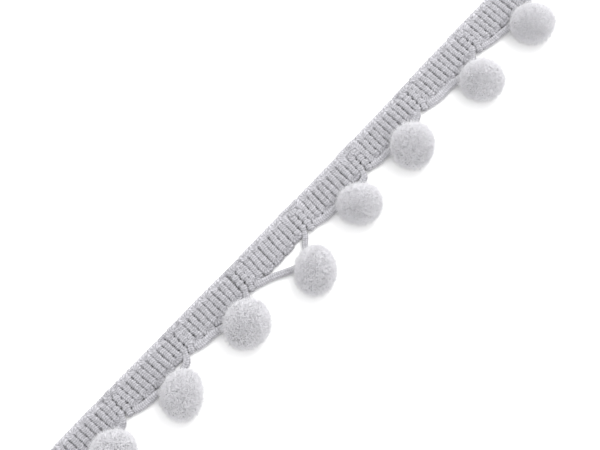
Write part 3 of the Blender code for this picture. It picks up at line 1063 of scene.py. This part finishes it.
class TrimPompomSettings(bpy.types.PropertyGroup):
    tufts: IntProperty(name="Tufts", description="Tufts of yarn in one pompom", default=1100)
    fibres: IntProperty(name="Fibres", description="Fibres that show on one pompom", default=17500)
    stray: FloatProperty(
        name="Stray", default=0.35, subtype="FACTOR",
        description="Share of the fibres that stand out of the clipped surface",
    )
    stray_length: FloatProperty(
        name="Stray length", default=0.45 * MM, unit="LENGTH",
        description="How far a middling stray fibre stands out",
    )
    blunt: FloatProperty(
        name="Blunt", default=0.7, subtype="FACTOR",
        description="Share of the other fibres that end in a broad cut end",
    )
    cut_width: FloatProperty(
        name="Cut width", default=0.24 * MM, unit="LENGTH",
        description="Width of a broad cut end",
    )
    pile_length: FloatProperty(
        name="Pile length", default=0.6 * MM, unit="LENGTH",
        description="Depth of the fibres' roots under the clipped surface",
    )
    pile_proud: FloatProperty(
        name="Pile proud", default=0.22 * MM, unit="LENGTH",
        description="How far the longest fibres stand out of the ball",
    )
    pile_uneven: FloatProperty(
        name="Pile unevenness", default=0.12 * MM, unit="LENGTH",
        description="How unevenly the fibres are cut",
    )
    fibre_width: FloatProperty(
        name="Fibre width", default=0.06 * MM, unit="LENGTH",
        description="Width of a fibre at its root",
    )
    seed: IntProperty(name="Seed", description="Which of the random arrangements is used", default=11)
    colour: FloatVectorProperty(
        name="Pile colour", default=(0.775, 0.77, 0.798), subtype="COLOR",
        description="Colour of the pompoms",
    )


class TrimStageSettings(bpy.types.PropertyGroup):
    floor_colour: FloatVectorProperty(
        name="Floor colour", default=(0.92, 0.92, 0.92), subtype="COLOR",
        description="Colour of the floor",
    )
    sky_strength: FloatProperty(
        name="Surrounding light", default=1.43,
        description="Strength of the light from all round",
    )
    key_power: FloatProperty(
        name="Key light", default=8.3, unit="POWER",
        description="Power of the soft main light",
    )
    lens: FloatProperty(name="Focal length", description="Focal length in millimetres", default=141.4)
    distance: FloatProperty(
        name="Camera distance", default=0.652, unit="LENGTH",
        description="Distance from the camera to the middle of its view",
    )
    tilt: FloatProperty(
        name="Camera tilt", default=math.radians(20.0), subtype="ANGLE",
        description="Angle between the view and straight down",
    )
    heading: FloatProperty(
        name="Camera heading", default=math.radians(47.87), subtype="ANGLE",
        description="Angle from +Y to the view's upward direction on the floor",
    )


class TRIM_OT_lay_header_cord(bpy.types.Operator):
    """Lays the header cord back and forth into the braid"""

    bl_idname = "trim.lay_header_cord"
    bl_label = "Lay header cord"

    def execute(self, context):
        settings = context.scene.trim_cord
        material = cord_material(settings.colour)
        # pale is the painted highlight along the braid's upper edge
        rings, pale = header_rings(settings)
        piece = knit_tube("header_cord", rings, settings.stitch_relief, material, pale)
        place_piece(piece, "braid_cord", "header_braid")
        edge = np.abs(rings.side[:, 1]) * (1 + 3 * (rings.centre[:, 1] > BRAID_Y))
        finish = {"Roughness": 0.8, "Sheen Weight": 0.5}
        # Painted light: the loose fibres' paler colour
        fuzz = mottled_material("loose_fibres", settings.fuzz_painted_light_colour, 500, finish)
        make_header_fuzz(rings, 0.15 + edge, settings, fuzz)
        return {"FINISHED"}


class TRIM_OT_lay_loop_cords(bpy.types.Operator):
    """Lays the second cord over the braid at each crossing and down to the pompoms"""

    bl_idname = "trim.lay_loop_cords"
    bl_label = "Lay loop cords"

    def execute(self, context):
        settings = context.scene.trim_cord
        material = bpy.data.materials["knit_cord"]
        for number in range(POMPOM_COUNT + 1):
            make_hairpin_cord(number, settings, material)
        for index in range(POMPOM_COUNT):
            make_leg_cord(index, settings, material)
        return {"FINISHED"}


class TRIM_OT_sew_threads(bpy.types.Operator):
    """Sews the rows of binding thread along both faces of the braid"""

    bl_idname = "trim.sew_threads"
    bl_label = "Sew binding threads"

    def execute(self, context):
        settings = context.scene.trim_cord
        finish = {"Roughness": 0.6, "Sheen Weight": 0.1}
        material = mottled_material("binding_thread", settings.thread_colour, 2500, finish)
        for back, name in ((False, "binding_threads"), (True, "backing_threads")):
            made = []
            for number, row in enumerate(THREAD_ROWS):
                made.append(make_thread(number, row, back, settings))
            bpy.context.view_layer.update()
            piece = joined_mesh(name, made, material)
            place_piece(piece, "braid_cord", "header_braid")
        return {"FINISHED"}


class TRIM_OT_make_pompoms(bpy.types.Operator):
    """Makes the clipped pompoms with their pile"""

    bl_idname = "trim.make_pompoms"
    bl_label = "Make pompoms"

    def execute(self, context):
        settings = context.scene.trim_pompom
        material = pile_material(settings.colour)
        for index in range(POMPOM_COUNT):
            make_pompom(index, settings, material)
        return {"FINISHED"}


class TRIM_OT_set_stage(bpy.types.Operator):
    """Sets the floor, the light and the camera"""

    bl_idname = "trim.set_stage"
    bl_label = "Set stage"

    def execute(self, context):
        settings = context.scene.trim_stage
        scene = context.scene
        make_floor(settings.floor_colour)
        set_surroundings(scene, settings.sky_strength)
        heading = Vector((math.sin(settings.heading), math.cos(settings.heading), 0))
        right = Vector((heading.y, -heading.x, 0))
        set_camera(scene, settings, heading, right)
        up_the_view, to_the_right, above = KEY_PLACE
        place = VIEW_TARGET + heading * up_the_view + right * to_the_right + Vector((0, 0, above))
        set_key_light(scene, settings.key_power, place)
        scene.view_settings.view_transform = "Standard"
        return {"FINISHED"}


class TRIM_PT_panel(bpy.types.Panel):
    bl_label = "Pompom fringe trim"
    bl_idname = "TRIM_PT_panel"
    bl_space_type = "VIEW_3D"
    bl_region_type = "UI"
    bl_category = "Trim"

    def draw(self, context):
        for step in STEPS:
            self.layout.operator(step.bl_idname)


STEPS = (
    TRIM_OT_lay_header_cord,
    TRIM_OT_lay_loop_cords,
    TRIM_OT_sew_threads,
    TRIM_OT_make_pompoms,
    TRIM_OT_set_stage,
)
CLASSES = (TrimCordSettings, TrimPompomSettings, TrimStageSettings, *STEPS, TRIM_PT_panel)


def register():
    for item in CLASSES:
        bpy.utils.register_class(item)
    bpy.types.Scene.trim_cord = PointerProperty(type=TrimCordSettings)
    bpy.types.Scene.trim_pompom = PointerProperty(type=TrimPompomSettings)
    bpy.types.Scene.trim_stage = PointerProperty(type=TrimStageSettings)


def unregister():
    del bpy.types.Scene.trim_stage
    del bpy.types.Scene.trim_pompom
    del bpy.types.Scene.trim_cord
    for item in reversed(CLASSES):
        bpy.utils.unregister_class(item)


def main():
    register()
    bpy.ops.trim.lay_header_cord()
    bpy.ops.trim.lay_loop_cords()
    bpy.ops.trim.sew_threads()
    bpy.ops.trim.make_pompoms()
    bpy.ops.trim.set_stage()


if __name__ == "__main__":
    main()
